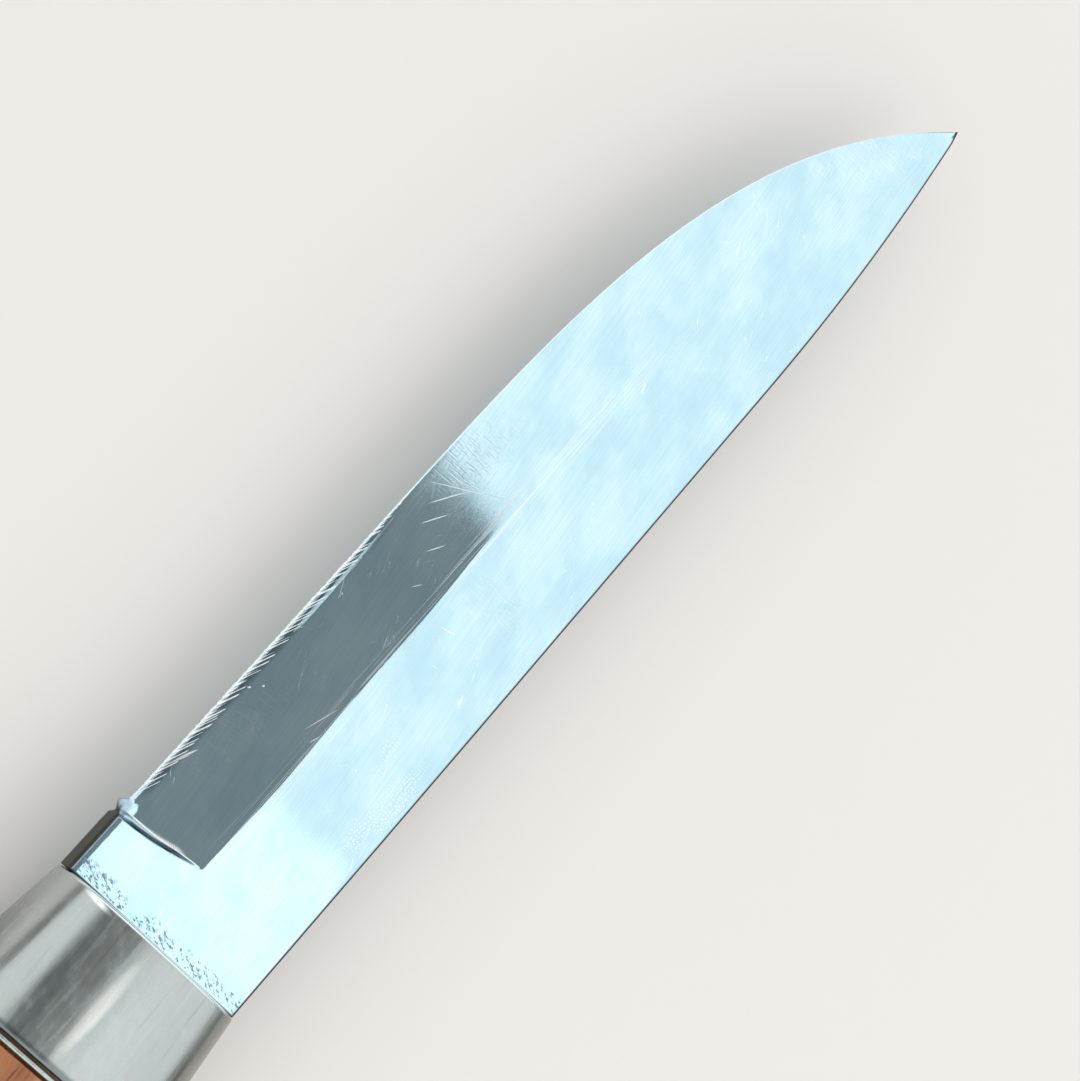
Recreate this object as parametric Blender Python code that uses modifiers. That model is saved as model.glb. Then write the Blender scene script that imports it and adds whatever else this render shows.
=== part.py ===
"""A boning knife, as an assembly: hollow-ground blade, nickel silver ferrule, hardwood grip and butt.

The knife lies on its side. +X runs towards the tip, +Y towards the cutting edge and +Z up.
Every dimension below counts from the middle of the ferrule's front plane, on the grip's axis,
and the whole knife is then moved so that the origin is under the middle of its box.
"""

import math

import bmesh
import bpy
from mathutils import Vector, geometry

MM = 0.001
GAP = 0.3 * MM  # clearance between pieces that touch
RING = 32  # points round every section

# Blade: outline
TIP = Vector((130 * MM, -9 * MM, 0))
RICASSO_HALF_HEIGHT = 11.8 * MM
SPINE_Y = -11.85 * MM
SPINE_ARC_START = 90 * MM  # the spine is straight up to here and then rises to the tip
EDGE_Y = 11.4 * MM
BELLY_START = 50 * MM
BELLY_HANDLES = (79 * MM, 108.4 * MM)  # where the belly curve's two handles end, both at EDGE_Y

# Blade: thickness and grind
HALF_THICKNESS = 1.6 * MM
TAPER_START = 32 * MM
TIP_HALF_THICKNESS = 0.55 * MM
TIP_THICKNESS_SHARE = 0.3  # of the section's height, close to the point
SPINE_ROUND = 0.3 * MM
FLAT_SHARE = 0.575  # the unground flat's share of the height, by the heel
FLAT_SHARE_LOST = 0.39  # how much of it the grind takes by the tip
FLAT_SHARE_RUN = (72 * MM, 140 * MM)
PLUNGE_X = 6.9 * MM  # where the grind begins, at the edge
PLUNGE_SLANT = 0.157  # how far the plunge line leans forward for each step towards the spine
PLUNGE_RUN = 0.8 * MM
PLUNGE_FADE = 30 * MM  # the sections stand square again past here
HOLLOW_DEPTH = 0.24 * MM  # below the straight wedge, at mid grind
BEVEL_WIDTH = 0.7 * MM
BEVEL_HALF_THICKNESS = 0.2 * MM

# Tang
TANG_FRONT = (4.0 * MM, 1.45 * MM)  # half height, half thickness
TANG_REAR = (3.2 * MM, 1.35 * MM)
TANG_THREAD_X = -100 * MM
TANG_THREAD_RADIUS = 2.5 * MM

# Ferrule
FERRULE_LENGTH = 15.1 * MM
FERRULE_FRONT = (11.8 * MM, 7.2 * MM)
FERRULE_REAR = (13.45 * MM, 8.4 * MM)
FERRULE_WALL = 1.2 * MM
FERRULE_SQUARENESS = 2.5
LIP_ROUND = 0.35 * MM
PLATE_THICKNESS = 1.6 * MM
COLLAR_THICKNESS = 0.45 * MM
COLLAR_PROUD = 0.15 * MM
WASHER_THICKNESS = 1.0 * MM

# Grip: (distance behind the ferrule's front, reach to +Y, reach to -Y, half thickness)
GRIP_STATIONS = (
    (16.15 * MM, 13.40 * MM, 13.40 * MM, 8.40 * MM),
    (31.0 * MM, 12.20 * MM, 13.30 * MM, 8.70 * MM),
    (47.0 * MM, 12.90 * MM, 13.00 * MM, 9.20 * MM),
    (63.0 * MM, 14.20 * MM, 12.50 * MM, 9.40 * MM),
    (79.0 * MM, 13.30 * MM, 12.00 * MM, 9.10 * MM),
    (94.0 * MM, 12.60 * MM, 12.20 * MM, 8.50 * MM),
    (109.0 * MM, 14.80 * MM, 14.60 * MM, 8.80 * MM),
)
GRIP_RINGS_PER_STATION = 4
GRIP_SQUARENESS = 2.3
BORE = (5.4 * MM, 2.85 * MM)
BORE_SQUARENESS = 4.0
CEMENT_WALL = 0.8 * MM
CEMENT_REAR_X = -62 * MM

# Butt
BUTT_HALF_HEIGHT = 15.0 * MM
BUTT_HALF_THICKNESS = 9.0 * MM
BUTT_CAP_THICKNESS = 7.0 * MM
BUTT_EDGE_ROUND = 1.0 * MM
COUNTERBORE_RADIUS = 4.8 * MM
COUNTERBORE_DEPTH = 4.0 * MM
NUT_RADIUS = 4.5 * MM
NUT_THICKNESS = 2.3 * MM
TANG_WASHER_THICKNESS = 0.8 * MM
NUT_SLOT_WIDTH = 1.2 * MM
NUT_SLOT_DEPTH = 1.0 * MM

GRIP_FRONT_X = -GRIP_STATIONS[0][0]
GRIP_REAR_X = -GRIP_STATIONS[-1][0]
REAR_WASHER_X = GRIP_REAR_X - GAP
BUTT_FRONT_X = REAR_WASHER_X - WASHER_THICKNESS - GAP
BUTT_END_X = BUTT_FRONT_X - BUTT_CAP_THICKNESS
BUTT_FLOOR_X = BUTT_END_X + COUNTERBORE_DEPTH


def mix(a, b, share):
    return a + (b - a) * share


def smooth_step(x, start, end):
    share = min(max((x - start) / (end - start), 0.0), 1.0)
    return share * share * (3 - 2 * share)


def clear_scene():
    for thing in list(bpy.data.objects):
        bpy.data.objects.remove(thing, do_unlink=True)


def make_collection(name):
    made = bpy.data.collections.new(name)
    bpy.context.scene.collection.children.link(made)
    return made


def make_material(name, colour, metallic, roughness):
    """A Principled material of one linear colour."""
    material = bpy.data.materials.new(name)
    material.use_nodes = True
    shader = material.node_tree.nodes["Principled BSDF"]
    shader.inputs["Base Color"].default_value = (*colour, 1.0)
    shader.inputs["Metallic"].default_value = metallic
    shader.inputs["Roughness"].default_value = roughness
    return material


def oval(half_height, half_thickness, squareness=2.0, centre=0.0):
    """(y, z) points of a superellipse, from its spine side over the top to its edge side and back."""
    points = []
    for i in range(RING):
        angle = 2 * math.pi * i / RING
        across, up = -math.cos(angle), math.sin(angle)
        y = math.copysign(abs(across) ** (2 / squareness), across) * half_height
        z = math.copysign(abs(up) ** (2 / squareness), up) * half_thickness
        points.append((centre + y, z))
    return points


def at(x, section):
    """A section's (y, z) points as a ring at x."""
    return [(x, y, z) for y, z in section]


def lofted(name, rings, closed=False, point=None):
    """An object from rings of points: capped at its ends, or run to a point, or closed on itself."""
    mesh = bmesh.new()
    loops = [[mesh.verts.new(p) for p in ring] for ring in rings]
    pairs = list(zip(loops, loops[1:]))
    if closed:
        pairs.append((loops[-1], loops[0]))
    for near, far in pairs:
        for i in range(RING):
            j = (i + 1) % RING
            mesh.faces.new((near[i], near[j], far[j], far[i]))
    if not closed:
        mesh.faces.new(loops[0])
        if point is None:
            mesh.faces.new(loops[-1])
        else:
            end = mesh.verts.new(point)
            for i in range(RING):
                mesh.faces.new((loops[-1][i], loops[-1][(i + 1) % RING], end))
    bmesh.ops.recalc_face_normals(mesh, faces=mesh.faces)
    data = bpy.data.meshes.new(name)
    mesh.to_mesh(data)
    mesh.free()
    data.shade_smooth()
    data.set_sharp_from_angle(angle=math.radians(30))
    return bpy.data.objects.new(name, data)


def rounded(thing, width, angle=50):
    """Rounds an object's sharp rims."""
    bevel = thing.modifiers.new("rim", "BEVEL")
    bevel.width = width
    bevel.segments = 2
    bevel.limit_method = "ANGLE"
    bevel.angle_limit = math.radians(angle)
    return thing


# --- Blade ---------------------------------------------------------------------------------------


def spine_height(x):
    """The spine's y: straight, then an arc up to the tip."""
    run = max(x - SPINE_ARC_START, 0.0) / (TIP.x - SPINE_ARC_START)
    return mix(SPINE_Y, TIP.y, run * run)


def belly_points(count):
    """(x, y) along the curve of the cutting edge from where it leaves the straight to the tip."""
    start = Vector((BELLY_START, EDGE_Y))
    handles = [Vector((x, EDGE_Y)) for x in BELLY_HANDLES]
    return geometry.interpolate_bezier(start, *handles, TIP.xy, count)


def upper_side(x, edge, ground):
    """(y, z) from the spine's middle to the bevel line; ground is 0 on the ricasso and 1 past it."""
    spine = spine_height(x)
    height = edge - spine
    taper = max(x - TAPER_START, 0.0) / (TIP.x - TAPER_START)
    half = min(mix(HALF_THICKNESS, TIP_HALF_THICKNESS, taper), TIP_THICKNESS_SHARE * height)
    corner = min(SPINE_ROUND, half / 2)
    share = FLAT_SHARE - FLAT_SHARE_LOST * smooth_step(x, *FLAT_SHARE_RUN)
    grind = spine + share * height
    bevel = edge - min(BEVEL_WIDTH, (edge - grind) / 4)
    bevel_half = min(BEVEL_HALF_THICKNESS, half / 2)
    slack = 1 - math.cos(math.radians(45))
    points = [(spine, 0.0), (spine, half - corner), (spine + slack * corner, half - slack * corner)]
    points += [(spine + corner, half), (mix(spine + corner, grind, 0.5), half)]
    steps = RING // 2 - len(points)
    for i in range(steps):
        w = i / (steps - 1)
        wedge = mix(half, bevel_half, w) - 4 * HOLLOW_DEPTH * w * (1 - w) * (half / HALF_THICKNESS)
        points.append((mix(grind, bevel, w), mix(half, wedge, ground)))
    return points


def blade_ring(x, edge, ground=1.0, edge_half=0.0, slant=0.0):
    """A whole section. slant leans it forward below the cutting edge; edge_half blunts the edge."""
    upper = upper_side(x, edge, ground)
    turned = [(y, -z) for y, z in reversed(upper[1:])]
    section = upper + [(edge, 0.0)] + turned
    if edge_half:
        section[RING // 2 - 1] = (edge - edge_half, HALF_THICKNESS)
        section[RING // 2 + 1] = (edge - edge_half, -HALF_THICKNESS)
    return [(x + slant * (edge - y), y, z) for y, z in section]


def make_blade(material):
    """Blade, ricasso, tang and its round threaded end: one forging."""
    thread = oval(TANG_THREAD_RADIUS, TANG_THREAD_RADIUS)
    tang_front = oval(*TANG_FRONT, BORE_SQUARENESS)
    tang_rear = oval(*TANG_REAR, BORE_SQUARENESS)
    rings = [
        at(BUTT_END_X + 2 * GAP, thread),
        at(TANG_THREAD_X - MM, thread),
        at(TANG_THREAD_X + MM, tang_rear),
        at(GAP, tang_front),
    ]
    for x, slant in ((GAP, 0.0), (PLUNGE_X, PLUNGE_SLANT)):
        rings.append(blade_ring(x, RICASSO_HALF_HEIGHT, 0.0, SPINE_ROUND, slant))
    for share in (0.5, 1.0):
        x = PLUNGE_X + share * PLUNGE_RUN
        rings.append(blade_ring(x, mix(RICASSO_HALF_HEIGHT, EDGE_Y, share), share, 0.0, PLUNGE_SLANT))
    for x in (14 * MM, 22 * MM, PLUNGE_FADE, 40 * MM):
        slant = PLUNGE_SLANT * (1 - smooth_step(x, PLUNGE_X, PLUNGE_FADE))
        rings.append(blade_ring(x, EDGE_Y, slant=slant))
    rings += [blade_ring(x, y) for x, y in belly_points(24)[:-1]]
    blade = lofted("blade", rings, point=TIP)
    blade.data.materials.append(material)
    return [blade]


# --- Ferrule -------------------------------------------------------------------------------------


def ferrule_section(x, inset=0.0, proud=0.0):
    """The ferrule's oval at x, which flares towards the grip, drawn in by inset or out by proud."""
    share = -x / FERRULE_LENGTH
    half_height = mix(FERRULE_FRONT[0], FERRULE_REAR[0], share) - inset + proud
    half_thickness = mix(FERRULE_FRONT[1], FERRULE_REAR[1], share) - inset + proud
    return at(x, oval(half_height, half_thickness, FERRULE_SQUARENESS))


def make_ferrule(metal):
    """Tapered sleeve, the slotted plate in its front and the thin collar behind it."""
    rear = -FERRULE_LENGTH
    sleeve_rings = [ferrule_section(0), ferrule_section(rear)]
    sleeve_rings += [ferrule_section(rear, FERRULE_WALL), ferrule_section(0, FERRULE_WALL)]
    sleeve = rounded(lofted("ferrule_sleeve", sleeve_rings, closed=True), LIP_ROUND)

    seat = FERRULE_WALL + GAP
    slot = oval(TANG_FRONT[0] + GAP, TANG_FRONT[1] + GAP, BORE_SQUARENESS)
    plate_rings = [ferrule_section(0, seat), ferrule_section(-PLATE_THICKNESS, seat)]
    plate_rings += [at(-PLATE_THICKNESS, slot), at(0, slot)]
    plate = lofted("ferrule_front_plate", plate_rings, closed=True)

    outer = oval(FERRULE_REAR[0] + COLLAR_PROUD, FERRULE_REAR[1] + COLLAR_PROUD, FERRULE_SQUARENESS)
    inner = oval(FERRULE_REAR[0] - FERRULE_WALL, FERRULE_REAR[1] - FERRULE_WALL, FERRULE_SQUARENESS)
    front = rear - GAP
    back = front - COLLAR_THICKNESS
    collar_rings = [at(front, outer), at(back, outer), at(back, inner), at(front, inner)]
    collar = rounded(lofted("collar_ring", collar_rings, closed=True), COLLAR_THICKNESS / 3)
    for thing in (sleeve, plate, collar):
        thing.data.materials.append(metal)
    return [sleeve, plate, collar]


# --- Grip ----------------------------------------------------------------------------------------


def through(values, share):
    """A smooth curve through the middle two of four values, at share of the way between them."""
    before, start, end, after = values
    slope_in, slope_out = (end - before) / 2, (after - start) / 2
    cubic = 2 * (start - end) + slope_in + slope_out
    square = 3 * (end - start) - 2 * slope_in - slope_out
    return ((cubic * share + square) * share + slope_in) * share + start


def grip_profile():
    """(x, reach to +Y, reach to -Y, half thickness) for each ring of the grip, front to rear."""
    stations = [GRIP_STATIONS[0], *GRIP_STATIONS, GRIP_STATIONS[-1]]
    rows = []
    for i in range(len(GRIP_STATIONS) - 1):
        for k in range(GRIP_RINGS_PER_STATION):
            share = k / GRIP_RINGS_PER_STATION
            rows.append([through(column, share) for column in zip(*stations[i:i + 4])])
    rows.append(GRIP_STATIONS[-1])
    return [(-mix(GRIP_STATIONS[0][0], GRIP_STATIONS[-1][0], i / (len(rows) - 1)), *row[1:])
            for i, row in enumerate(rows)]


def make_grip(wood, cement):
    """The hardwood grip with its tenon and its bore, and the cement that beds the tang in it."""
    tenon_front = -PLATE_THICKNESS - 2 * GAP
    seat = FERRULE_WALL + GAP
    rings = [ferrule_section(tenon_front, seat), ferrule_section(-FERRULE_LENGTH, seat)]
    tenon_rear = oval(FERRULE_REAR[0] - seat, FERRULE_REAR[1] - seat, FERRULE_SQUARENESS)
    rings.append(at(GRIP_FRONT_X, tenon_rear))
    for x, edge_side, spine_side, half in grip_profile():
        section = oval((edge_side + spine_side) / 2, half, GRIP_SQUARENESS, (edge_side - spine_side) / 2)
        rings.append(at(x, section))
    bore = oval(*BORE, BORE_SQUARENESS)
    rings += [at(GRIP_REAR_X, bore), at(tenon_front, bore)]
    grip = lofted("grip", rings, closed=True)
    grip.data.materials.append(wood)

    outer = oval(BORE[0] - GAP, BORE[1] - GAP, BORE_SQUARENESS)
    inner = oval(BORE[0] - GAP - CEMENT_WALL, BORE[1] - GAP - CEMENT_WALL, BORE_SQUARENESS)
    ends = (tenon_front, CEMENT_REAR_X)
    bedding_rings = [at(ends[0], outer), at(ends[1], outer), at(ends[1], inner), at(ends[0], inner)]
    bedding = lofted("tang_cement", bedding_rings, closed=True)
    bedding.data.materials.append(cement)
    return [grip, bedding]


# --- Butt ----------------------------------------------------------------------------------------


def make_butt(metal, fibre, cutters):
    """Fibre washer, butt cap, and the washer and slotted nut that draw the tang tight."""
    hole = oval(TANG_THREAD_RADIUS + GAP, TANG_THREAD_RADIUS + GAP)
    outline = oval(BUTT_HALF_HEIGHT, BUTT_HALF_THICKNESS, GRIP_SQUARENESS)
    inset = oval(BUTT_HALF_HEIGHT - COLLAR_PROUD, BUTT_HALF_THICKNESS - COLLAR_PROUD, GRIP_SQUARENESS)
    rear = REAR_WASHER_X - WASHER_THICKNESS
    washer_rings = [at(REAR_WASHER_X, inset), at(rear, inset), at(rear, hole), at(REAR_WASHER_X, hole)]
    fibre_washer = lofted("rear_fibre_washer", washer_rings, closed=True)
    fibre_washer.data.materials.append(fibre)

    counterbore = oval(COUNTERBORE_RADIUS, COUNTERBORE_RADIUS)
    cap_rings = [at(BUTT_FRONT_X, outline), at(BUTT_END_X, outline), at(BUTT_END_X, counterbore)]
    cap_rings += [at(BUTT_FLOOR_X, counterbore), at(BUTT_FLOOR_X, hole), at(BUTT_FRONT_X, hole)]
    cap = lofted("butt_cap", cap_rings, closed=True)
    rim = cap.data.attributes.new("bevel_weight_edge", "FLOAT", "EDGE")
    for edge in cap.data.edges:
        ends = [cap.data.vertices[v].co for v in edge.vertices]
        on_end = all(abs(p.x - BUTT_END_X) < GAP for p in ends)
        on_outside = all(p.yz.length > BUTT_HALF_THICKNESS - GAP for p in ends)
        rim.data[edge.index].value = float(on_end and on_outside)
    bevel = cap.modifiers.new("rim", "BEVEL")
    bevel.limit_method = "WEIGHT"
    bevel.width = BUTT_EDGE_ROUND
    bevel.segments = 3

    under_x = BUTT_FLOOR_X - GAP
    nut_x = under_x - TANG_WASHER_THICKNESS - GAP
    disc = oval(NUT_RADIUS, NUT_RADIUS)
    made = [fibre_washer, cap]
    for name, x, thickness in (
        ("tang_washer", under_x, TANG_WASHER_THICKNESS),
        ("tang_nut", nut_x, NUT_THICKNESS),
    ):
        rings = [at(x, disc), at(x - thickness, disc), at(x - thickness, hole), at(x, hole)]
        made.append(lofted(name, rings, closed=True))
    for thing in made[1:]:
        thing.data.materials.append(metal)
    cut_slot(made[-1], nut_x - NUT_THICKNESS, cutters)
    return made


def cut_slot(nut, end_x, cutters):
    """Cuts the driver slot across the nut's outer face."""
    mesh = bmesh.new()
    bmesh.ops.create_cube(mesh, size=1.0)
    size = (2 * NUT_SLOT_DEPTH, 3 * NUT_RADIUS, NUT_SLOT_WIDTH)
    bmesh.ops.scale(mesh, vec=size, verts=mesh.verts)
    bmesh.ops.translate(mesh, vec=(end_x, 0, 0), verts=mesh.verts)
    data = bpy.data.meshes.new("nut_slot_cutter")
    mesh.to_mesh(data)
    mesh.free()
    cutter = bpy.data.objects.new("nut_slot_cutter", data)
    cutter.hide_render = True
    cutter.display_type = "WIRE"
    cutters.objects.link(cutter)
    cut = nut.modifiers.new("slot", "BOOLEAN")
    cut.operation = "DIFFERENCE"
    cut.solver = "EXACT"
    cut.object = cutter


# --- Assembly ------------------------------------------------------------------------------------


def main():
    clear_scene()
    parts = make_collection("boning_knife")
    cutters = make_collection("cutters")
    steel = make_material("blade_steel", (0.56, 0.66, 0.72), 1.0, 0.22)
    metal = make_material("nickel_silver", (0.52, 0.57, 0.53), 1.0, 0.30)
    wood = make_material("oiled_hardwood", (0.37, 0.15, 0.06), 0.0, 0.35)
    fibre = make_material("black_fibre", (0.02, 0.017, 0.015), 0.0, 0.6)
    cement = make_material("cutlers_cement", (0.10, 0.06, 0.03), 0.0, 0.7)

    made = make_blade(steel) + make_ferrule(metal) + make_grip(wood, cement)
    made += make_butt(metal, fibre, cutters)

    axis_height = max(row[3] for row in grip_profile())
    centre = bpy.data.objects.new("knife_axis", None)
    centre.location = (-(TIP.x + BUTT_END_X) / 2, 0, axis_height)
    parts.objects.link(centre)
    for thing in made:
        parts.objects.link(thing)
        thing.parent = centre
    for thing in cutters.objects:
        thing.parent = centre


main()
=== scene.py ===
"""Looks of a boning knife: the blade as it comes from the wheel, a worn nickel silver ferrule and an
oiled grip.

The knife lies on its side, +X to the tip, +Y to the cutting edge and +Z up. Lengths are in metres,
and a place on the knife counts from the middle of the ferrule's front plane, as in its CAD source.
"""

import math

import bmesh
import bpy
from mathutils import Matrix, Vector, geometry, noise


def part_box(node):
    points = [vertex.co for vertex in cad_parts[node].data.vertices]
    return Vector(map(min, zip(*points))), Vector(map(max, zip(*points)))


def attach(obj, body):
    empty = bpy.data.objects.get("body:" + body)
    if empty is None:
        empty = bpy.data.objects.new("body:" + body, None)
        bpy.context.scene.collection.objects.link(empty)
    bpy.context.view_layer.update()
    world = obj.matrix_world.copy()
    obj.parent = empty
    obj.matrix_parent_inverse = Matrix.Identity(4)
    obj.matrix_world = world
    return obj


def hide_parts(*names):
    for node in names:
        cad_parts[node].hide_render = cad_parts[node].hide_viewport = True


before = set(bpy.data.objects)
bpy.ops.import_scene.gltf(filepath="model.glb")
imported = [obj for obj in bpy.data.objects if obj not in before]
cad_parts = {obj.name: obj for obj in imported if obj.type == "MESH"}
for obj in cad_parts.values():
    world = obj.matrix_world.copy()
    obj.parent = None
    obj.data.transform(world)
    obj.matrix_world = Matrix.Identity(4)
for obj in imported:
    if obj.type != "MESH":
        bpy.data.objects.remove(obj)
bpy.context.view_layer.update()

MM = 0.001

# Where the knife lies
FERRULE_LOW, FERRULE_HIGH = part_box("ferrule_sleeve")
ORIGIN = Vector((FERRULE_HIGH.x, 0, (FERRULE_LOW.z + FERRULE_HIGH.z) / 2))

# Blade outline and grind, as in the CAD source
TIP = Vector((130 * MM, -9 * MM, 0))
HEEL_X = 0.12 * MM
RICASSO_HALF_HEIGHT = 11.8 * MM
SPINE_Y = -11.85 * MM
SPINE_ARC_START = 90 * MM
EDGE_Y = 11.4 * MM
BELLY_START = 50 * MM
BELLY_HANDLES = (79 * MM, 108.4 * MM)
HALF_THICKNESS = 1.6 * MM
TAPER_BEND = (17 * MM, 47 * MM)  # the sides leave parallel over this length and then taper evenly
TIP_HALF_THICKNESS = 0.55 * MM
TIP_THICKNESS_SHARE = 0.3
SPINE_ROUND = 0.3 * MM
FLAT_SHARE = 0.575
FLAT_SHARE_LOST = 0.39
FLAT_SHARE_RUN = (72 * MM, 140 * MM)
PLUNGE_X = 6.9 * MM
PLUNGE_SLANT = 0.157
PLUNGE_SHOULDER = 0.04  # the share of the depth that buffing has taken off before the wall
FACET = (2.2 * MM, 0.035)  # width and slope of the strip ground twice, beside the grind line
HOLLOW_DEPTH = 0.24 * MM
BEVEL_WIDTHS = (0.5 * MM, 0.18 * MM)  # where a stone has whetted it, and further on
BEVEL_NARROWS = (36 * MM, 54 * MM)
BEVEL_HALF_THICKNESS = 0.2 * MM
BURR = 0.9 * MM  # the nub that the wheel has left where the edge begins
RIDGE_ROUND = 0.35 * MM  # how far polishing has softened the grind line
TANG_FRONT = (4.0 * MM, 1.45 * MM)
TANG_REAR = (3.2 * MM, 1.35 * MM)
TANG_THREAD_X = -100 * MM
TANG_THREAD_RADIUS = 2.5 * MM

# Blade mesh
FINE_END = 66 * MM  # the saw-toothed length of the edge
ROUND_COLUMNS, FLAT_COLUMNS, HOLLOW_COLUMNS, BEVEL_COLUMNS = 6, 14, 26, 4

# Ferrule, grip and butt
FERRULE_LENGTH = 15.1 * MM
FERRULE_FRONT = (11.8 * MM, 7.2 * MM)
FERRULE_REAR = (13.45 * MM, 8.4 * MM)
FERRULE_WALL = 1.2 * MM
FERRULE_SQUARENESS = 2.5
LIP_ROUND = 0.35 * MM
PLATE_THICKNESS = 1.6 * MM
GAP = 0.3 * MM
GRIP_STATIONS = (
    (16.15 * MM, 13.40 * MM, 13.40 * MM, 8.40 * MM),
    (31.0 * MM, 12.20 * MM, 13.30 * MM, 8.70 * MM),
    (47.0 * MM, 12.90 * MM, 13.00 * MM, 9.20 * MM),
    (63.0 * MM, 14.20 * MM, 12.50 * MM, 9.40 * MM),
    (79.0 * MM, 13.30 * MM, 12.00 * MM, 9.10 * MM),
    (94.0 * MM, 12.60 * MM, 12.20 * MM, 8.50 * MM),
    (109.0 * MM, 14.80 * MM, 14.60 * MM, 8.80 * MM),
)
GRIP_RINGS_PER_STATION = 10
GRIP_SQUARENESS = 2.3
BORE = (5.4 * MM, 2.85 * MM)
BORE_SQUARENESS = 4.0
COUNTERBORE_RADIUS = 4.8 * MM
COUNTERBORE_DEPTH = 4.0 * MM
THREAD_HOLE = 2.8 * MM
BUTT_EDGE_ROUND = 1.0 * MM
SEGMENTS = 96


def mix(a, b, share):
    return a + (b - a) * share


def smooth_step(x, start, end):
    share = min(max((x - start) / (end - start), 0.0), 1.0)
    return share * share * (3 - 2 * share)


def bump_at(x, middle, reach):
    """1 at middle, falling smoothly to 0 at reach to either side."""
    return 1 - smooth_step(abs(x - middle), 0.0, reach)


# --- Node helpers --------------------------------------------------------------------------------


def srgb(text):
    """A linear colour from sRGB hex."""
    channels = [int(text[i:i + 2], 16) / 255 for i in (1, 3, 5)]
    linear = [c / 12.92 if c <= 0.04045 else ((c + 0.055) / 1.055) ** 2.4 for c in channels]
    return (*linear, 1.0)


def add(tree, kind, inputs=(), **settings):
    """Adds a node with its settings, and fills or links its inputs, given as (socket, value) pairs."""
    made = tree.nodes.new(kind)
    for name, value in settings.items():
        setattr(made, name, value)
    for socket, value in inputs:
        if isinstance(value, bpy.types.NodeSocket):
            tree.links.new(value, made.inputs[socket])
        else:
            made.inputs[socket].default_value = value
    return made


def new_material(name, shader_inputs):
    """A material with its Principled shader's own sockets set, as (material, tree, shader)."""
    material = bpy.data.materials.new(name)
    material.use_nodes = True
    tree = material.node_tree
    shader = tree.nodes["Principled BSDF"]
    for socket, value in shader_inputs:
        shader.inputs[socket].default_value = value
    return material, tree, shader


def grain(tree, length, width, turn=0.0, detail=3.0, roughness=0.5, seed=0.0):
    """Noise in streaks of that length and width in mm, turned by that many degrees about Z."""
    place = add(tree, "ShaderNodeTexCoord").outputs["Object"]
    turned = add(tree, "ShaderNodeMapping", [("Vector", place), ("Rotation", (0, 0, -math.radians(turn)))])
    scaled = add(tree, "ShaderNodeMapping", [
        ("Vector", turned.outputs[0]),
        ("Location", (seed, seed, seed)),
        ("Scale", (1000 / length, 1000 / width, 1000 / width)),
    ])
    return add(tree, "ShaderNodeTexNoise", [
        ("Vector", scaled.outputs[0]), ("Scale", 1.0), ("Detail", detail), ("Roughness", roughness),
    ]).outputs["Fac"]


def remap(tree, value, low, high, to_low=0.0, to_high=1.0):
    """Value from low..high to to_low..to_high, held at both ends."""
    return add(tree, "ShaderNodeMapRange", [
        ("Value", value), ("From Min", low), ("From Max", high), ("To Min", to_low), ("To Max", to_high),
    ], interpolation_type="SMOOTHSTEP").outputs[0]


def calc(tree, operation, *values):
    return add(tree, "ShaderNodeMath", enumerate(values), operation=operation).outputs[0]


def blend_colours(tree, share, first, second):
    return add(tree, "ShaderNodeMix", [("Factor", share), (6, first), (7, second)],
               data_type="RGBA").outputs[2]


def hairlines(tree, length, width, turn, thinness, cover, seed):
    """Fine scratches: a contour of stretched noise, broken up so that each line comes and goes."""
    lines = grain(tree, length, width, turn, 1.0, 0.5, seed)
    off_line = calc(tree, "ABSOLUTE", calc(tree, "SUBTRACT", lines, 0.5))
    thin = remap(tree, off_line, thinness, 0.0)
    places = grain(tree, length / 2, length / 3, turn, 2.0, 0.5, seed + 7)
    patches = remap(tree, places, 1 - cover, 1.05 - cover)
    return calc(tree, "MULTIPLY", thin, patches)


def mark(tree, middle, length, width, turn, core=0.4):
    """An ellipse at a place in mm from the ferrule, turned by degrees about Z, full within its core."""
    place = add(tree, "ShaderNodeTexCoord").outputs["Object"]
    spot = ORIGIN + Vector((*middle, 0)) * MM
    near = add(tree, "ShaderNodeVectorMath", [(0, place), (1, spot)], operation="SUBTRACT").outputs[0]
    flat = add(tree, "ShaderNodeMapping", [
        ("Vector", near),
        ("Rotation", (0, 0, -math.radians(turn))),
    ]).outputs[0]
    squeezed = add(tree, "ShaderNodeVectorMath", [
        (0, flat), (1, (2000 / length, 2000 / width, 0)),
    ], operation="MULTIPLY").outputs[0]
    reach = add(tree, "ShaderNodeVectorMath", [(0, squeezed)], operation="LENGTH").outputs["Value"]
    return remap(tree, reach, 1.0, core)


# --- Mesh helpers --------------------------------------------------------------------------------


def new_mesh():
    """An empty bmesh whose points remember how far round their section they are, from 0 to 1."""
    mesh = bmesh.new()
    mesh.verts.layers.float.new("turn")
    return mesh


def place_ring(mesh, verts, x, half_height, half_thickness, squareness=2.0, centre=0.0):
    """Moves a ring of points onto an oval at x, from its spine side over the top to its edge side."""
    turn = mesh.verts.layers.float["turn"]
    for vert in verts:
        angle = 2 * math.pi * vert[turn]
        across, up = -math.cos(angle), math.sin(angle)
        y = math.copysign(abs(across) ** (2 / squareness), across) * half_height
        z = math.copysign(abs(up) ** (2 / squareness), up) * half_thickness
        vert.co = (x, centre + y, z)


def extend(mesh, edges, rings):
    """Extrudes a loop of edges from oval to oval, and returns the last loop's edges."""
    for ring in rings:
        made = bmesh.ops.extrude_edge_only(mesh, edges=edges)["geom"]
        edges = [g for g in made if isinstance(g, bmesh.types.BMEdge) and g.is_boundary]
        place_ring(mesh, {v for e in edges for v in e.verts}, *ring)
    return edges


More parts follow.
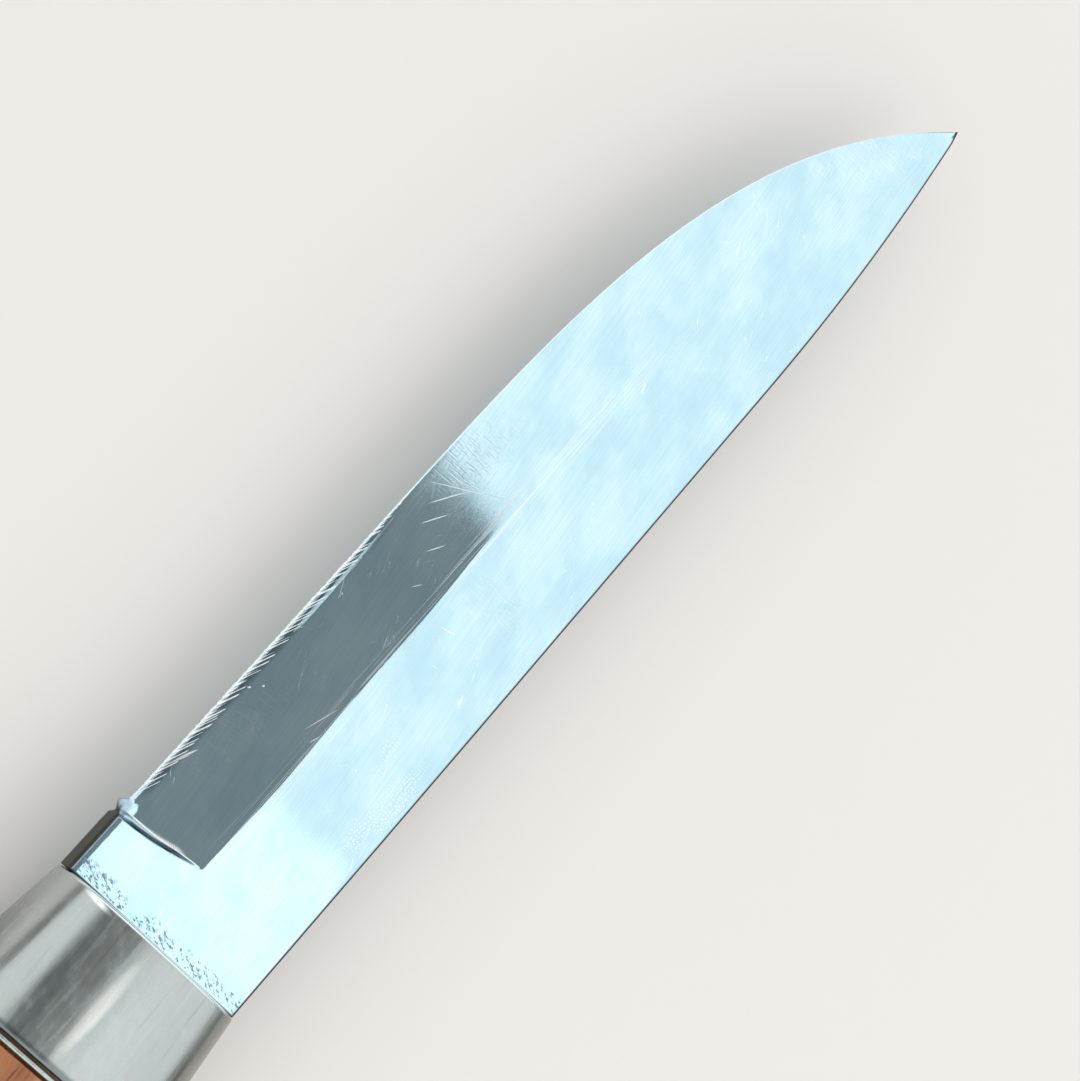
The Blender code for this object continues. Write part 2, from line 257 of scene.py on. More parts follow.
def add_tube(mesh, rings, closed=True, segments=SEGMENTS):
    """A tube through ovals, closed on itself, or capped where closed is False."""
    circle = bmesh.ops.create_circle(mesh, segments=segments, radius=1.0)["verts"]
    turn = mesh.verts.layers.float["turn"]
    for vert in circle:
        vert[turn] = math.atan2(vert.co.y, vert.co.x) / (2 * math.pi) % 1
    place_ring(mesh, circle, *rings[0])
    first = list({e for v in circle for e in v.link_edges})
    last = extend(mesh, first, rings[1:] + rings[:1] if closed else rings[1:])
    if not closed:
        for loop in (first, last):
            bmesh.ops.contextual_create(mesh, geom=loop)


def round_rims(mesh, width, segments=4, least=40, inside=lambda place: True):
    """Rounds the edges that are sharper than least degrees."""
    bmesh.ops.remove_doubles(mesh, verts=mesh.verts, dist=0.001 * MM)
    bmesh.ops.recalc_face_normals(mesh, faces=mesh.faces)
    rims = [e for e in mesh.edges if len(e.link_faces) == 2 and e.calc_face_angle(0) > math.radians(least)
            and inside((e.verts[0].co + e.verts[1].co) / 2)]
    bmesh.ops.bevel(mesh, geom=rims, offset=width, segments=segments, profile=0.5,
                    affect="EDGES", material=-1)


def to_piece(name, mesh, material, slot, *stands_for, sharp=35):
    """A shown piece made from a bmesh, in its place on the knife."""
    bmesh.ops.remove_doubles(mesh, verts=mesh.verts, dist=0.001 * MM)
    bmesh.ops.recalc_face_normals(mesh, faces=mesh.faces)
    bmesh.ops.translate(mesh, vec=ORIGIN, verts=mesh.verts)
    data = bpy.data.meshes.new(name)
    mesh.to_mesh(data)
    mesh.free()
    data.materials.append(material)
    data.shade_smooth()
    data.set_sharp_from_angle(angle=math.radians(sharp))
    piece = bpy.data.objects.new(name, data)
    bpy.context.scene.collection.objects.link(piece)
    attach(piece, "root")
    if stands_for:
        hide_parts(*stands_for)
    return piece


# --- Blade ---------------------------------------------------------------------------------------


def spine_height(x):
    """The spine's y: straight, then an arc up to the tip."""
    run = max(x - SPINE_ARC_START, 0.0) / (TIP.x - SPINE_ARC_START)
    return mix(SPINE_Y, TIP.y, run * run)


def belly():
    """(x, y) points close together along the curve of the cutting edge, up to the tip."""
    handles = [Vector((x, EDGE_Y)) for x in BELLY_HANDLES]
    return geometry.interpolate_bezier(Vector((BELLY_START, EDGE_Y)), *handles, TIP.xy, 400)


def edge_height(x, curve):
    """The cutting edge's y."""
    for near, far in zip(curve, curve[1:]):
        if near.x <= x <= far.x:
            return mix(near.y, far.y, (x - near.x) / (far.x - near.x))
    return EDGE_Y


def edge_wear(x):
    """How far the cutting edge is worn back: the stone has left it like a very fine saw."""
    sawn = smooth_step(x, PLUNGE_X + 1.5 * MM, 12 * MM) * (1 - smooth_step(x, 52 * MM, 66 * MM))
    tooth = (x / MM / 0.8 + 0.8 * noise.noise(Vector((x / MM / 3, 0, 3)))) % 1
    deep = sawn * (0.10 + 0.08 * noise.noise(Vector((x / MM / 2.3, 5, 0))))
    return max(deep * tooth + 0.015 * noise.noise(Vector((x / MM / 0.7, 9, 0))), 0) * MM


def grind_height(x, edge):
    """The grind line's y, which wanders a little, as a grind by hand does."""
    spine = spine_height(x)
    share = FLAT_SHARE - FLAT_SHARE_LOST * smooth_step(x, *FLAT_SHARE_RUN)
    wander = 0.3 * bump_at(x, 56 * MM, 15 * MM) - 0.4 * bump_at(x, 19 * MM, 17 * MM)
    return spine + share * (edge - spine) + wander * MM


def ground_share(x, y, depth):
    """0 on the ricasso and 1 on the grind, by a soft shoulder, a steep wall and the wheel's fillet.

    Also 1 in the steep wall, where the blade's colour gets painted shade, and 1 in the fillet behind it,
    where it gets a painted highlight. depth runs from 0 at the grind line to 1 at the edge."""
    past = x - PLUNGE_X - PLUNGE_SLANT * (EDGE_Y - y) + 0.25 * MM * bump_at(depth, 0.6, 0.6)
    shoulder = PLUNGE_SHOULDER * smooth_step(past, -1.4 * MM, 0.3 * MM)
    wall = min(max(past / mix(0.3 * MM, 1.1 * MM, depth), 0.0), 1.0) ** 0.8
    crescent = smooth_step(depth, 0.03, 0.35) * mix(1.0, 0.6, smooth_step(depth, 0.85, 1.0))
    width = mix(0.08, 0.42, crescent) * MM
    steep = smooth_step(past, -0.1 * MM, 0.0) * (1 - smooth_step(past, width, width + 0.1 * MM))
    fillet = smooth_step(past, width, width + 0.12 * MM)
    fillet *= 1 - smooth_step(past, width + 0.3 * crescent * MM, width + mix(0.15, 0.75, crescent) * MM)
    return mix(shoulder, 1.0, smooth_step(wall, 0.0, 1.0)), (steep * crescent, fillet * crescent)


def ripple(x, y, length, width, height):
    """A shallow unevenness, in mm, with swells of about that length and width in mm."""
    return height * noise.noise(Vector((x / MM / length, y / MM / width, length)))


def blade_point(x, zone, share, curve):
    """(x, y, z, (plunge, fillet)) of a point on the blade's upper side, the last two masking painted shade
    and a painted highlight.
    """
    spine, edge = spine_height(x), edge_height(x, curve)
    bend_start, bend_end = TAPER_BEND
    bent = min(max(x - bend_start, 0.0), bend_end - bend_start)
    run = bent * bent / (2 * (bend_end - bend_start)) + max(x - bend_end, 0.0)
    taper = run / (TIP.x - (bend_start + bend_end) / 2)
    half = min(mix(HALF_THICKNESS, TIP_HALF_THICKNESS, taper), TIP_THICKNESS_SHARE * (edge - spine))
    corner = min(SPINE_ROUND, half / 2)
    grind = grind_height(x, edge)
    ridge = min(RIDGE_ROUND, 0.1 * (edge - grind))
    width = mix(*BEVEL_WIDTHS, smooth_step(x, *BEVEL_NARROWS))
    bevel = edge - min(width, (edge - grind) / 4)
    bevel_half = min(BEVEL_HALF_THICKNESS * width / BEVEL_WIDTHS[0], half / 2)
    flat_edge = RICASSO_HALF_HEIGHT - HALF_THICKNESS / 3
    angle = share * math.pi / 2
    if zone == "round":
        return x, spine + corner * (1 - math.cos(angle)), half - corner * (1 - math.sin(angle)), (0.0, 0.0)
    if zone == "bevel":
        worn = min(edge_wear(x), 0.3 * (edge - bevel)) * smooth_step(TIP.x - x, MM, 8 * MM)
        ground_y, ground_z = mix(bevel, edge - worn, share), mix(bevel_half, 0.0, share)
        bend = min(share / 0.6, 1.0) * math.pi / 2
        square_y = mix(flat_edge, RICASSO_HALF_HEIGHT, math.sin(bend))
        square_z = mix(0.0, half - HALF_THICKNESS / 3 * (1 - math.cos(bend)), min((1 - share) / 0.4, 1.0))
    else:
        ends = {"flat": (spine + corner, grind - ridge), "ridge": (grind - ridge, grind + ridge),
                "hollow": (grind + ridge, bevel)}[zone]
        ground_y = mix(*ends, share)
        square_y = spine + corner + (
            (ground_y - spine - corner) * (flat_edge - spine - corner) / (bevel - spine - corner))
        w = max(ground_y - grind, 0.0) / (bevel - grind)
        sag = 4 * HOLLOW_DEPTH * w * (1 - w) * (half / HALF_THICKNESS)
        ground_z, square_z = mix(half, bevel_half, w) - sag, half
        if zone == "ridge":
            slope = (half - bevel_half + 4 * HOLLOW_DEPTH * half / HALF_THICKNESS) / (bevel - grind)
            ground_z = half - slope * (ground_y - grind + ridge) ** 2 / (4 * ridge)
    slant = PLUNGE_SLANT * smooth_step(x, 0.0, PLUNGE_X - MM) * (1 - smooth_step(x, 10 * MM, 30 * MM))
    y = ground_y
    x += slant * (EDGE_Y - y)
    ground, steep = ground_share(x, y, min(max((y - grind) / (bevel - grind), 0.0), 1.0))
    y, z = mix(square_y, ground_y, ground), mix(square_z, ground_z, ground)
    burr = bump_at(x, 8.2 * MM, 1.1 * MM) * smooth_step(y, 10.2 * MM, 11.6 * MM)
    y += BURR * burr
    z += 0.45 * BURR * burr * (z > 0)
    if zone != "bevel":
        facet = FACET[0] * smooth_step(x, 31 * MM, 35.5 * MM) * (1 - smooth_step(x, 34 * MM, 53 * MM))
        z -= FACET[1] * max(min(y - grind + facet, facet), 0.0)
        swell = ripple(x, y, 9, 7, 0.006) + ripple(x, y, 23, 4, 0.004) + ripple(x, y, 17, 12, 0.02)
        z += swell * MM * smooth_step(edge - y, 0, 4 * MM)
    return x, y, z, steep


def make_blade(material):
    """Blade, ricasso, tang and its threaded end, in one piece of steel."""
    stops = ((HEEL_X, 0.5), (6 * MM, 0.1), (10 * MM, 0.2), (FINE_END, 0.5), (TIP.x, 0))
    rows = []
    for (start, step), (end, _) in zip(stops, stops[1:]):
        count = round((end - start) / (step * MM))
        rows += [mix(start, end, i / count) for i in range(count)]
    rows.append(TIP.x)
    zones = (("round", 5), ("flat", 16), ("ridge", 6), ("hollow", 24), ("bevel", 6))
    columns = [(zone, i / count) for zone, count in zones for i in range(count)] + [("bevel", 1.0)]

    mesh = new_mesh()
    turn = mesh.verts.layers.float["turn"]
    layers = [mesh.verts.layers.float.new(name)
              for name in ("along", "from_edge", "from_spine", "from_grind", "plunge", "fillet")]
    bmesh.ops.create_grid(mesh, x_segments=len(rows) - 1, y_segments=len(columns) - 1, size=0.5)
    curve = belly()
    for vert in mesh.verts:
        i = round((vert.co.x + 0.5) * (len(rows) - 1))
        j = round((vert.co.y + 0.5) * (len(columns) - 1))
        vert[turn] = 0.5 * j / (len(columns) - 1)
        if i == len(rows) - 1:
            vert.co = TIP
            continue
        x, y, z, steep = blade_point(rows[i], *columns[j], curve)
        vert.co = (x, y, max(z, 0.0))
        from_edge, from_spine = (edge_height(x, curve) - y) / MM, (y - spine_height(x)) / MM
        from_grind = (y - grind_height(x, edge_height(x, curve))) / MM
        for layer, value in zip(layers, (x / MM, from_edge, from_spine, from_grind, *steep)):
            vert[layer] = value
    bmesh.ops.mirror(mesh, geom=mesh.verts[:] + mesh.edges[:] + mesh.faces[:], matrix=Matrix.Identity(4),
                     merge_dist=0.001 * MM, axis="Z")
    bmesh.ops.remove_doubles(mesh, verts=mesh.verts, dist=0.001 * MM)
    for vert in mesh.verts:
        if vert.co.z < 0:
            vert[turn] = 1 - vert[turn]
    heel = [e for e in mesh.edges if e.is_boundary]
    thread = (TANG_THREAD_RADIUS, TANG_THREAD_RADIUS)
    end_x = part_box("tang_nut")[0].x - ORIGIN.x + GAP
    end = extend(mesh, heel, [
        (HEEL_X, *TANG_FRONT, BORE_SQUARENESS),
        (TANG_THREAD_X + MM, *TANG_REAR, BORE_SQUARENESS),
        (TANG_THREAD_X - MM, *thread),
        (end_x + 0.3 * MM, *thread),
        (end_x, thread[0] - 0.3 * MM, thread[1] - 0.3 * MM),
    ])
    bmesh.ops.contextual_create(mesh, geom=end)
    return to_piece("ground_blade", mesh, material, "blade_steel", "blade")


# --- Ferrule, collar and washers -----------------------------------------------------------------


def ferrule_oval(x, inset=0.0):
    """The flaring ferrule's oval at x, drawn in by inset."""
    share = -x / FERRULE_LENGTH
    half_height, half_thickness = (mix(a, b, share) - inset for a, b in zip(FERRULE_FRONT, FERRULE_REAR))
    return x, half_height, half_thickness, FERRULE_SQUARENESS


def make_ferrule(material):
    """The drawn sleeve: both lips rounded over, and drawn a little unevenly along its length."""
    mesh = new_mesh()
    steps = [-FERRULE_LENGTH * i / 24 for i in range(25)]
    outer = [ferrule_oval(x) for x in steps]
    inner = [ferrule_oval(x, FERRULE_WALL) for x in (steps[-1], steps[0])]
    add_tube(mesh, outer + inner, segments=192)
    round_rims(mesh, LIP_ROUND)
    for vert in mesh.verts:
        around = vert.co.yz.normalized() * 5
        vert.co.yz *= 1 + 0.004 * noise.noise(Vector((vert.co.x / (25 * MM), *around))) - 0.002
    return to_piece("drawn_ferrule", mesh, material, "nickel_silver", "ferrule_sleeve")


def make_band(name, node, squareness, rim, material, slot):
    """A thin oval ring or washer that fills a CAD ring's box, with soft rims."""
    low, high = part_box(node)
    half_height, half_thickness = (high.y - low.y) / 2, (high.z - low.z) / 2
    front, rear = high.x - ORIGIN.x, low.x - ORIGIN.x
    hole = (half_height - 2.4 * MM, half_thickness - 2.4 * MM, squareness)
    mesh = new_mesh()
    add_tube(mesh, [
        (front, half_height, half_thickness, squareness),
        (rear, half_height, half_thickness, squareness),
        (rear, *hole),
        (front, *hole),
    ])
    round_rims(mesh, rim)
    return to_piece(name, mesh, material, slot, node)


# --- Grip ----------------------------------------------------------------------------------------


def through(values, share):
    """A smooth curve through the middle two of four values, at share of the way between them."""
    before, start, end, after = values
    slope_in, slope_out = (end - before) / 2, (after - start) / 2
    cubic = 2 * (start - end) + slope_in + slope_out
    square = 3 * (end - start) - 2 * slope_in - slope_out
    return ((cubic * share + square) * share + slope_in) * share + start


def make_grip(material):
    """The hardwood grip: a palm swell, a thin neck and a flare to the butt, bored for the tang."""
    stations = [GRIP_STATIONS[0], *GRIP_STATIONS, GRIP_STATIONS[-1]]
    rows = []
    for i in range(len(GRIP_STATIONS) - 1):
        for k in range(GRIP_RINGS_PER_STATION):
            share = k / GRIP_RINGS_PER_STATION
            rows.append([through(column, share) for column in zip(*stations[i:i + 4])])
    rows.append(GRIP_STATIONS[-1])
    front, rear = GRIP_STATIONS[0][0], GRIP_STATIONS[-1][0]
    outer = []
    for i, (_, edge_side, spine_side, half) in enumerate(rows):
        x = -mix(front, rear, i / (len(rows) - 1))
        outer.append((x, (edge_side + spine_side) / 2, half, GRIP_SQUARENESS, (edge_side - spine_side) / 2))
    tenon = -PLATE_THICKNESS - 2 * GAP
    seat = FERRULE_WALL + GAP
    mesh = new_mesh()
    add_tube(mesh, [
        ferrule_oval(tenon, seat),
        ferrule_oval(-FERRULE_LENGTH, seat),
        (-front, *ferrule_oval(-FERRULE_LENGTH, seat)[1:]),
        *outer,
        (-rear, *BORE, BORE_SQUARENESS),
        (tenon, *BORE, BORE_SQUARENESS),
    ])
    round_rims(mesh, 0.25 * MM, 3, least=50, inside=lambda place: place.x < -front + MM)
    return to_piece("turned_grip", mesh, material, "oiled_hardwood", "grip")


# --- Butt ----------------------------------------------------------------------------------------


def make_butt_cap(material):
    """The cap, its outer rim rounded over and a recess turned in it for the nut."""
    low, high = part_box("butt_cap")
    front, rear = high.x - ORIGIN.x, low.x - ORIGIN.x
    floor = rear + COUNTERBORE_DEPTH
    oval = ((high.y - low.y) / 2, (high.z - low.z) / 2, GRIP_SQUARENESS)
    mesh = new_mesh()
    add_tube(mesh, [
        (front, *oval),
        (mix(front, rear, 0.5), *oval),
        (rear, *oval),
        (rear, COUNTERBORE_RADIUS, COUNTERBORE_RADIUS),
        (floor, COUNTERBORE_RADIUS, COUNTERBORE_RADIUS),
        (floor, THREAD_HOLE, THREAD_HOLE),
        (front, THREAD_HOLE, THREAD_HOLE),
    ])
    outside = high.z - ORIGIN.z - 0.5 * MM
    round_rims(mesh, BUTT_EDGE_ROUND, 6,
               inside=lambda place: place.x < rear + MM and place.yz.length > outside)
    round_rims(mesh, 0.25 * MM, 3)
    return to_piece("butt_cap_turned", mesh, material, "nickel_silver", "butt_cap")


# --- Materials -----------------------------------------------------------------------------------


# Deep scratches: (middle, length, width, turn), in mm from the ferrule and degrees
BLADE_SCRATCHES = (
    ((15.6, 10.3), 4.6, 0.26, -25), ((14.8, 10.5), 4.0, 0.16, -25), ((16.9, 10.8), 2.1, 0.12, -37),
    ((27.9, 2.3), 5.8, 0.12, -17), ((25.8, 1.5), 1.8, 0.14, -17), ((55.9, 6.9), 9.8, 0.09, -58),
    ((54.0, 7.8), 5.8, 0.12, -30), ((51.2, 7.4), 4.2, 0.13, -29), ((49.1, 5.2), 3.1, 0.14, -29),
    ((44.8, 4.1), 1.7, 0.10, -34), ((43.8, -1.7), 2.3, 0.24, -71), ((40.1, -3.2), 0.9, 0.14, -82),
    ((25.1, 10.0), 0.5, 0.25, -36), ((26.2, 9.0), 0.4, 0.28, -42), ((26.6, -4.2), 0.5, 0.22, -78),
    ((29.0, -6.5), 2.6, 0.10, 28), ((33.5, -2.0), 3.4, 0.10, 32), ((104.0, 0.5), 3.0, 0.09, 33),
)


def marks(tree, table):
    """1 in any of a table's ellipses."""
    found = mark(tree, *table[0])
    for row in table[1:]:
        found = calc(tree, "MAXIMUM", found, mark(tree, *row))
    return found


def blade_steel():
    """High carbon steel, ground on a wheel, buffed and then used: nearly a mirror, so what it reflects
    shows through fine lengthwise brushing, cross-hatched stone marks and the odd deep scratch."""
    material, tree, shader = new_material("buffed_blade_steel", (("Metallic", 1.0),))
    along, from_edge, from_spine, from_grind, plunge, fillet = (
        add(tree, "ShaderNodeAttribute", attribute_name=name).outputs["Fac"]
        for name in ("along", "from_edge", "from_spine", "from_grind", "plunge", "fillet"))

    # The edge: a pale whetted strip, partly real whetting and partly painted highlight, its inner side
    # ragged with slanting strokes 0.5 mm apart; a painted shadow runs along its inner side
    sawn = calc(tree, "MULTIPLY", remap(tree, along, 9, 12), remap(tree, along, 54, 38))
    stroke = calc(tree, "MULTIPLY_ADD", from_edge, -2.4, along)
    ragged = add(tree, "ShaderNodeTexNoise", [
        ("W", stroke), ("Scale", 1 / 0.5), ("Detail", 1.0)], noise_dimensions="1D").outputs["Fac"]
    reach = calc(tree, "MULTIPLY_ADD", remap(tree, ragged, 0.48, 0.64, 0.16, 1.0), sawn, 0.13)
    whetted_and_painted_highlight = remap(tree, calc(tree, "SUBTRACT", from_edge, reach), 0.0, -0.1)
    whetted_and_painted_highlight = calc(tree, "MULTIPLY", whetted_and_painted_highlight, remap(tree, along, 7.6, 8.6))
    shadow = remap(tree, from_edge, 1.5, 0.7)
    shadow = calc(tree, "MULTIPLY", calc(tree, "MULTIPLY", shadow, sawn), 0.6)
    shadow = calc(tree, "MULTIPLY", shadow, calc(tree, "SUBTRACT", 1.0, whetted_and_painted_highlight))

    # Brushing 0.1 to 0.2 mm apart; the stone's marks across it are drawn no finer than 0.25 mm
    brushing = grain(tree, 16, 0.14, 6, 4.0, 0.65)
    wheel_marks = grain(tree, 11, 0.3, 1, 3.0, 0.6, 17)
    hatch_place = marks(tree, (
        ((60, 8.5), 17, 8, -14, 0.3), ((21, 8.0), 26, 7, -6, 0.3), ((49.5, -3.5), 12, 8, -60, 0.3),
        ((118, -2.5), 24, 9, -35, 0.3), ((13, -5), 9, 9, 0, 0.3)))
    hatch = remap(tree, grain(tree, 2.2, 0.22, -84, 2.0, 0.5, 41), 0.5, 0.66)
    hatch = calc(tree, "MULTIPLY", hatch, hatch_place)
    stone = remap(tree, grain(tree, 3.5, 0.2, 24, 2.0, 0.5, 47), 0.54, 0.68)
    stone = calc(tree, "MULTIPLY", stone, hatch_place)
    crossed = calc(tree, "MAXIMUM", hatch, calc(tree, "MULTIPLY", stone, 0.7))

    # Dimples 0.4 mm apart from a worn buffing wheel, and pits where damp has sat by the ferrule
    dots = add(tree, "ShaderNodeTexVoronoi", [
        ("Vector", add(tree, "ShaderNodeTexCoord").outputs["Object"]), ("Scale", 1 / (0.38 * MM)),
        ("Randomness", 0.6),
    ], voronoi_dimensions="2D").outputs["Distance"]
    dimples = calc(tree, "MULTIPLY", remap(tree, dots, 0.3, 0.1), marks(tree, (
        ((26, -9.6), 15, 4.6, -4, 0.4), ((30, -5.5), 8, 3, 25, 0.1))))
    dimples = calc(tree, "MULTIPLY", dimples, remap(tree, grain(tree, 1.6, 1.2, 40, 2.0, 0.5, 5), 0.3, 0.55))
    by_ferrule = calc(tree, "MULTIPLY", remap(tree, along, 3.2, 0.9), remap(tree, along, 0.2, 0.7))
    pits = remap(tree, grain(tree, 0.6, 0.3, 62, 3.0, 0.7, 13), 0.51, 0.62)
    pits = calc(tree, "MULTIPLY", pits, remap(tree, calc(tree, "MULTIPLY", by_ferrule, remap(
        tree, grain(tree, 3, 2, 0, 1.0, 0.5, 19), 0.25, 0.5)), 0.2, 0.7))

    # The bundle of fine lines that a polishing stick has left along the grind line
    by_grind = remap(tree, calc(tree, "ABSOLUTE", from_grind), 1.7, 0.3)
    by_grind = calc(tree, "MULTIPLY", by_grind, calc(
        tree, "MULTIPLY", remap(tree, along, 9, 14), remap(tree, along, 90, 55, 0.15, 1.0)))
    bundle = calc(tree, "MULTIPLY", remap(tree, grain(tree, 18, 0.18, 0, 2.0, 0.5, 29), 0.48, 0.62), by_grind)
    scratches = calc(tree, "MAXIMUM", marks(tree, BLADE_SCRATCHES), calc(
        tree, "MULTIPLY", hairlines(tree, 9, 0.7, 28, 0.012, 0.42, 11), 0.6))
    scratches = calc(tree, "MAXIMUM", scratches, calc(
        tree, "MULTIPLY", hairlines(tree, 6, 0.6, -38, 0.012, 0.36, 23), 0.5))
    pale_marks_and_painted_highlight = calc(tree, "MAXIMUM", calc(tree, "MAXIMUM", whetted_and_painted_highlight, scratches), calc(
        tree, "MAXIMUM", calc(tree, "MULTIPLY", crossed, 0.2), calc(
            tree, "MAXIMUM", dimples, calc(tree, "MULTIPLY", bundle, 0.6))))
    burr = mark(tree, (8.2, 11.7), 2.2, 2.6, 0, 0.6)
    # The wheel's fillet behind the plunge gets a painted highlight, and the marks are kept out of the
    # plunge's painted shade
    pale_marks_and_painted_highlight = calc(tree, "MAXIMUM", calc(tree, "MULTIPLY", pale_marks_and_painted_highlight, calc(tree, "SUBTRACT", 1.0, plunge)), fillet)

    # The back was never buffed and its rounding is painted dark, a painted reflection of the dark below
    # it; the choil was never buffed either; painted shade darkens the blade in the joint with the ferrule
    spine_dull_and_painted_dark = remap(tree, from_spine, 0.42, 0.22)
    choil_skin = calc(tree, "MULTIPLY", remap(tree, from_edge, 0.02, -0.2), remap(tree, along, 8.4, 7.4))
    joint_painted_shade = remap(tree, along, 0.42, 0.2)
    dull_and_painted_dark = calc(tree, "MAXIMUM", spine_dull_and_painted_dark, calc(tree, "MAXIMUM", choil_skin, joint_painted_shade))

    smudges = grain(tree, 9, 6, 20, 3.0, 0.6, 4)
    # The steel's pale blue base colour is a painted reflection of blue sky, varied at random by smudges
    colour = blend_colours(tree, remap(tree, smudges, 0.32, 0.68), srgb("#BDE0ED"), srgb("#D0EFF9"))
    brushed = calc(tree, "MULTIPLY", remap(tree, brushing, 0.3, 0.75), 0.35)
    colour = blend_colours(tree, brushed, colour, srgb("#A9CCDD"))
    colour = blend_colours(tree, pale_marks_and_painted_highlight, colour, srgb("#F6FDFF"))
    # Painted shadow inside the whetted strip, together with the pits' own dark
    painted_shadow_and_pits = calc(tree, "MAXIMUM", shadow, calc(tree, "MULTIPLY", pits, 0.65))
    colour = blend_colours(tree, painted_shadow_and_pits, colour, srgb("#35525E"))
    # Painted shade in the plunge's steep wall
    colour = blend_colours(tree, plunge, colour, srgb("#0E2A36"))
    colour = blend_colours(tree, burr, colour, srgb("#B9CFDF"))
    # Painted dark on the spine's rounding and painted shade in the ferrule joint; the choil's own unbuffed
    # grey
    colour = blend_colours(tree, dull_and_painted_dark, colour, srgb("#4A4A46"))
    tree.links.new(colour, shader.inputs["Base Color"])

    rough = calc(tree, "MULTIPLY_ADD", brushing, 0.03, remap(tree, smudges, 0.25, 0.8, 0.02, 0.055))
    rough = calc(tree, "MAXIMUM", rough, calc(tree, "MULTIPLY", calc(tree, "MAXIMUM", pale_marks_and_painted_highlight, dull_and_painted_dark), 0.42))
    rough = calc(tree, "MAXIMUM", rough, calc(tree, "MULTIPLY", calc(tree, "MAXIMUM", pits, burr), 0.4))
    tree.links.new(rough, shader.inputs["Roughness"])
    on_flat = calc(tree, "ADD", from_spine, calc(tree, "MULTIPLY", from_edge, -1.3))
    on_flat = remap(tree, on_flat, 3.0, 0.0, 1.0, 0.45)
    height = calc(tree, "MULTIPLY", calc(tree, "MULTIPLY_ADD", wheel_marks, 0.8, brushing), on_flat)
    for dent, depth in ((crossed, 0.5), (scratches, 0.8), (dimples, 1.0), (pits, 2.0), (whetted_and_painted_highlight, 0.6)):
        height = calc(tree, "MULTIPLY_ADD", dent, -depth, height)
    bump = add(tree, "ShaderNodeBump", [("Strength", 0.06), ("Distance", 0.05 * MM), ("Height", height)])
    tree.links.new(bump.outputs[0], shader.inputs["Normal"])
    return material


def worn_nickel_silver():
    """Drawn nickel silver, buffed along its length and handled since: greenish grey with soft streaks."""
    material, tree, shader = new_material("worn_nickel_silver", (("Metallic", 1.0),))
    streaks = grain(tree, 22, 0.9, 0, 4.0, 0.6, 2)
    fine = grain(tree, 9, 0.12, 0, 3.0, 0.6, 8)
    lines = hairlines(tree, 7, 0.8, 8, 0.012, 0.35, 31)
    colour = blend_colours(tree, remap(tree, streaks, 0.3, 0.7), srgb("#A9B9B6"), srgb("#C9D5D1"))
    colour = blend_colours(tree, calc(tree, "MULTIPLY", lines, 0.5), colour, srgb("#F2F8F6"))
    tree.links.new(colour, shader.inputs["Base Color"])
    rough = calc(tree, "ADD", remap(tree, streaks, 0.25, 0.75, 0.16, 0.3), calc(tree, "MULTIPLY", fine, 0.08))
    tree.links.new(rough, shader.inputs["Roughness"])
    height = calc(tree, "ADD", calc(tree, "MULTIPLY", streaks, 1.5), fine)
    bump = add(tree, "ShaderNodeBump", [("Strength", 0.1), ("Distance", 0.05 * MM), ("Height", height)])
    tree.links.new(bump.outputs[0], shader.inputs["Normal"])
    return material


# Bands on the ferrule, mostly painted reflections and partly wear and tarnish: a pale band along the
# top as painted highlight, and darker bands on the edge side and low on both flanks as painted dark
# reflections: (middle, length, width, turn, core, colour)
FERRULE_WEAR_AND_PAINTED_REFLECTIONS = (
    ((-8.5, 2.3), 15, 2.2, -3, 0.4, "#D8DDDA"),
    ((-7, 7.2), 60, 3.4, 1, 0.3, "#9DA5A4"),
    ((-7, -11.5), 60, 7.0, 0, 0.5, "#94938D"),
    ((-7, 13.2), 60, 3.0, 0, 0.2, "#8E918E"),
)


